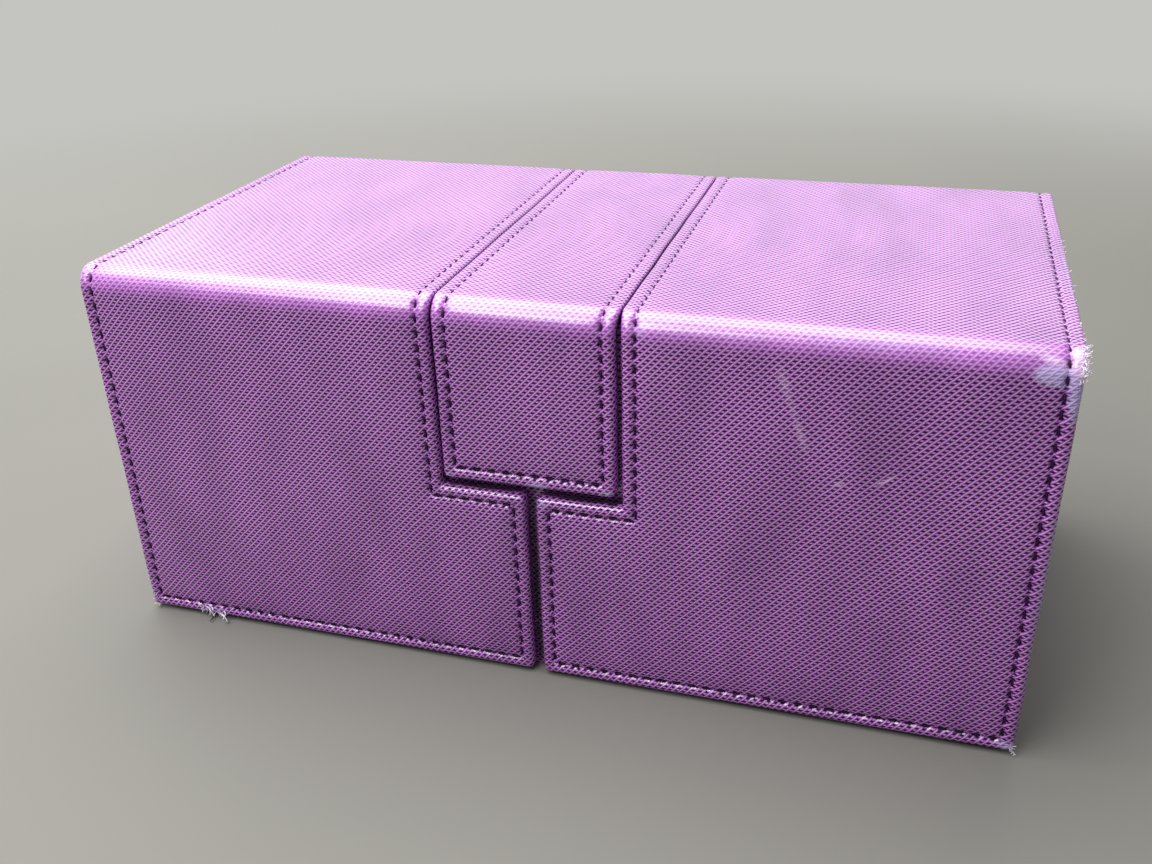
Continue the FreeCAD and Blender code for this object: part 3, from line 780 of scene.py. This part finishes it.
# A tuft is given as its place on the sheet, its half width and half height, how many fibres it has, the
# longest of them, the way they point in degrees, and their radius.
frays = {
    "left_lid": [
        (-94, -90.8, 4.0, 0.4, 8, 6.0, 15, strand_r),
        (-94, -91.2, 4.0, 0.9, 20, 2.4, 15, fibre_r),
        (-110.9, -89.5, 0.9, 2.5, 16, 1.4, 250, fibre_r),
    ],
    "right_lid": [
        (111.9, 3.6, 0.5, 3.6, 110, 1.7, -25, fibre_r),
        (112.0, 40, 0.3, 34, 18, 0.8, 0, fibre_r),
        (111.7, -91, 0.6, 0.7, 14, 1.5, 20, fibre_r),
    ],
}
for tongue, tufts in frays.items():
    work = bmesh.new()
    chance = random.Random(tongue)
    for x, v, half_x, half_v, count, longest, heading, thick in tufts:
        for _ in range(count):
            curl = math.radians(chance.uniform(35, 140))
            arc_r = longest * chance.uniform(0.4, 1.0) / curl
            root_x = x + chance.uniform(-half_x, half_x)
            root_v = v + chance.uniform(-half_v, half_v)
            root_n = chance.uniform(-0.2, 0.25)
            tilt = math.radians(chance.uniform(20, 160))
            turn = math.radians(heading + chance.uniform(-50, 50))
            lie = Euler((tilt, 0, turn)).to_matrix().to_4x4()
            pose = Matrix.Translation((root_x, root_v, root_n)) @ lie
            start = pose @ Matrix.Rotation(math.pi / 2, 4, "Y")
            ring = bmesh.ops.create_circle(work, cap_ends=True, segments=5, radius=thick, matrix=start)
            end = ring["verts"]
            sides = {edge for vert in end for edge in vert.link_edges}
            faces = {face for vert in end for face in vert.link_faces}
            bmesh.ops.spin(
                work,
                geom=end + list(sides) + list(faces),
                cent=pose @ Vector((0, arc_r, 0)),
                axis=pose.to_3x3() @ Vector((0, 0, 1)),
                angle=curl,
                steps=6,
            )
    lowest = -1.5
    for vert in work.verts:
        vert.co = lay(vert.co.x, max(vert.co.y, foot_v), max(vert.co.z, lowest))
    fibres = finish_mesh(work, tongue + "_fray", backing_fibre, sharp=3.0)
    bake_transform(fibres)


# Hinge folds: the same three tongues where they bend over the back of the case, without board, so that they
# flex. Each carries its hems and stitches on from its lid or from the strap.

hinge_t = 1.6
hinge_rows = [hinge_v + (back_v - hinge_v) * i / fold_steps for i in range(fold_steps + 1)]
for tongue, (x_marks, _, seams, _, material, _) in tongues.items():
    strip_x = [x for x in x_marks if tongue == "strap" or abs(x) >= lid_side]
    flexing = sew_sheet(tongue + "_hinge_fold", strip_x, hinge_rows, seams, [], material, 0.0, hinge_t, 0.0)
    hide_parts(tongue + "_hinge")
    stitches = sew_thread(tongue + "_hinge_thread", seams, [(hinge_v, back_v, *top_thread)])
    for piece in (flexing, stitches):
        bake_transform(piece)


# Back of the case: the sheet comes down from the hinge folds over the back board in one piece, with its ends
# and foot turned and sewn, and a narrow turn-in over the rim and the ends of the board.

back_x = near(-lid_end, 1) + near(lid_end, -1)
back_marks = near(back_foot_v, -1) + [back_v]
back_seams = [
    [[(lid_end - hem, stitch_low), (lid_end - hem, stitch_end)]],
    [[(lid_end - hem, stitch_end), (hem - lid_end, stitch_end)]],
    [[(hem - lid_end, stitch_end), (hem - lid_end, stitch_low)]],
]
back_rounds = [(-lid_end, back_foot_v, 1, -1), (lid_end, back_foot_v, -1, -1)]
back_sheet = make_cover_sheet("cover_sheet_back")
back_t = 2.4
back_recess = 1.4
back_cover = sew_sheet(
    "case_back_cover", back_x, back_marks, back_seams, back_rounds, back_sheet, 0.0, back_t, back_recess
)
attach(back_cover, "case")
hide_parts("case_back_skin")
back_stitches = sew_thread("case_back_thread", back_seams, [(back_v, back_foot_v, *top_thread)])
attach(back_stitches, "case")

case_end = 110.0
strip_t = 1.0
strip_in = 54.5
strip_out = 57.0
strip_foot = 1.0
strip_lap = 0.2
strip_head = rim_z - strip_t + strip_lap
strips = [
    ((-case_end, strip_in, rim_z - strip_t), (case_end, strip_out, rim_z)),
    ((-case_end, strip_in, strip_foot), (strip_t - case_end, strip_out, strip_head)),
    ((case_end - strip_t, strip_in, strip_foot), (case_end, strip_out, strip_head)),
]
strip_work = bmesh.new()
for low, high in strips:
    middle = [(a + b) / 2 * mm for a, b in zip(low, high)]
    size = [(b - a) * mm for a, b in zip(low, high)]
    pose = Matrix.Translation(middle) @ Matrix.Diagonal((*size, 1))
    bmesh.ops.create_cube(strip_work, size=1, matrix=pose)
bmesh.ops.bevel(
    strip_work,
    geom=strip_work.edges[:],
    offset=0.3 * mm,
    affect="EDGES",
    segments=2,
    profile=0.5,
    material=-1,
)
turn_in = finish_mesh(strip_work, "case_back_turn_in", case_sheet)
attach(turn_in, "case")


# Linings of the lids and the strap: microfibre let in behind the boards, inside the turned hems, in one piece
# round the front fold.

let_in = hem + 0.35
lining_t = 0.8
lining_end = hinge_v - 1.2
lining_step = 8.0
lid_lining_x = [let_in - lid_end, -lid_side - let_in, -lid_centre - let_in]
lid_lining_v = [foot_v + let_in, notch_v - let_in] + fold_rows + [lining_end]
strap_lining_x = [let_in - strap_half, strap_half - let_in]
strap_lining_v = [tab_v + let_in] + fold_rows + [lining_end]
linings = {
    "left_lid": (lid_lining_x, lid_lining_v),
    "right_lid": ([-x for x in lid_lining_x], lid_lining_v),
    "strap": (strap_lining_x, strap_lining_v),
}
for tongue, (x_marks, v_marks) in linings.items():
    front_body = front_bodies[tongue]
    work = cut_blank(rule(x_marks, lining_step), rule(v_marks, lining_step), let_in)
    back = double_blank(work)
    for vert in work.verts:
        depth = panel_t + (fold_t - panel_t) * fold_share(vert.co.y)
        vert.co = lay(vert.co.x, vert.co.y, -depth if vert in back else lining_t - depth)
    lining = finish_mesh(work, tongue + "_lining", microfibre)
    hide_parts(tongue + "_top_lining", front_body + "_lining")
    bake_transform(lining)


# Studio: a plain pale floor that runs off into an even background, lit by four soft lamps: a large one
# overhead, a low weak one behind, a small one high at the front left and a broad weak one at the left.


def seen_backdrop(tree):
    """1 where the background is looked at, straight or in a reflection, and 0 where it only gives light."""
    path = add(tree, "ShaderNodeLightPath").outputs
    seen = path["Is Camera Ray"]
    for ray in ("Is Glossy Ray", "Is Transmission Ray"):
        seen = add(tree, "ShaderNodeMath", {0: seen, 1: path[ray]}, operation="MAXIMUM").outputs["Value"]
    return seen


def make_floor():
    """Matt paper sweep: pale grey, lit near the object, and even where it runs off into the background."""
    made, tree, shader = start_material("paper_floor", Roughness=0.9, Specular_IOR_Level=0.2)
    place = add(tree, "ShaderNodeTexCoord").outputs["Object"]
    mottle = add(tree, "ShaderNodeTexNoise", {"Vector": place, "Scale": 3.0, "Detail": 2.0}).outputs["Fac"]
    ramp = add(tree, "ShaderNodeValToRGB", {"Fac": mottle})
    tree.links.new(set_ramp(ramp, [(0.3, "#7E7E7A"), (0.7, "#84847F")]), shader.inputs["Base Color"])
    away = add(tree, "ShaderNodeVectorMath", {0: place}, operation="LENGTH").outputs["Value"]
    runs_off = {"Value": away, "From Min": 0.3, "From Max": 0.8}
    far = add(tree, "ShaderNodeMapRange", runs_off, interpolation_type="SMOOTHSTEP").outputs["Result"]
    share = add(tree, "ShaderNodeMath", {0: far, 1: seen_backdrop(tree)}, operation="MULTIPLY")
    backdrop = add(tree, "ShaderNodeEmission", {"Color": colour("#C4C4C0")})
    mixed = add(tree, "ShaderNodeMixShader", {0: share.outputs["Value"]})
    tree.links.new(shader.outputs["BSDF"], mixed.inputs[1])
    tree.links.new(backdrop.outputs["Emission"], mixed.inputs[2])
    tree.links.new(mixed.outputs["Shader"], tree.nodes["Material Output"].inputs["Surface"])
    return made


floor_half = 6.0
floor_work = bmesh.new()
bmesh.ops.create_grid(floor_work, x_segments=4, y_segments=4, size=floor_half)
floor = finish_mesh(floor_work, "floor", make_floor())

# A lamp is given as its place, what it is turned to, its width and height in metres and its power in watts.
lamp_tint = "#FFFDFA"
softboxes = {
    "top_softbox": ((-0.33, 0.2, 0.95), (-0.33, 0.2, 0.1), 1.1, 1.0, 16.4),
    "back_softbox": ((-0.2, 0.75, 0.4), (0, 0, 0.1), 1.3, 0.5, 2),
    "front_softbox": ((-0.16, -0.32, 0.45), (0, -0.05, 0.05), 0.3, 0.25, 1.45),
    "left_softbox": ((-0.75, 0.25, 0.5), (-0.11, 0, 0.05), 1.0, 0.9, 3.1),
}
for name, (place, aim, width, height, power) in softboxes.items():
    lamp = bpy.data.lights.new(name, "AREA")
    lamp.shape = "RECTANGLE"
    lamp.size = width
    lamp.size_y = height
    lamp.energy = power
    lamp.color = colour(lamp_tint)[:3]
    holder = bpy.data.objects.new(name, lamp)
    holder.location = place
    holder.visible_camera = False
    holder.rotation_euler = (Vector(aim) - Vector(place)).to_track_quat("-Z", "Y").to_euler()
    bpy.context.scene.collection.objects.link(holder)

world = bpy.data.worlds.new("studio")
bpy.context.scene.world = world
world.use_nodes = True
surround = world.node_tree.nodes["Background"]
surround.inputs["Color"].default_value = colour("#F2F2F0")
fill_light = 0.2
seen_level = 0.62
strength = {"Value": seen_backdrop(world.node_tree), "To Min": fill_light, "To Max": seen_level}
strength = add(world.node_tree, "ShaderNodeMapRange", strength).outputs["Result"]
world.node_tree.links.new(strength, surround.inputs["Strength"])

# The camera stands in front of the box, a little to its right and above it, as in the photograph.
camera_data = bpy.data.cameras.new("camera")
camera_data.lens = 35.89
camera_data.sensor_width = 36
camera_data.clip_start = 0.01
camera = bpy.data.objects.new("camera", camera_data)
stand = Matrix.Translation((0.07995, -0.27245, 0.18586))
right = Vector((0.95701, 0.28880, -0.02693))
up = Vector((-0.10951, 0.44572, 0.88844))
forward = Vector((-0.26859, 0.84730, -0.45819))
camera.matrix_world = stand @ Matrix((right, up, -forward)).transposed().to_4x4()
bpy.context.scene.collection.objects.link(camera)
bpy.context.scene.camera = camera
bpy.context.scene.view_settings.view_transform = "Standard"
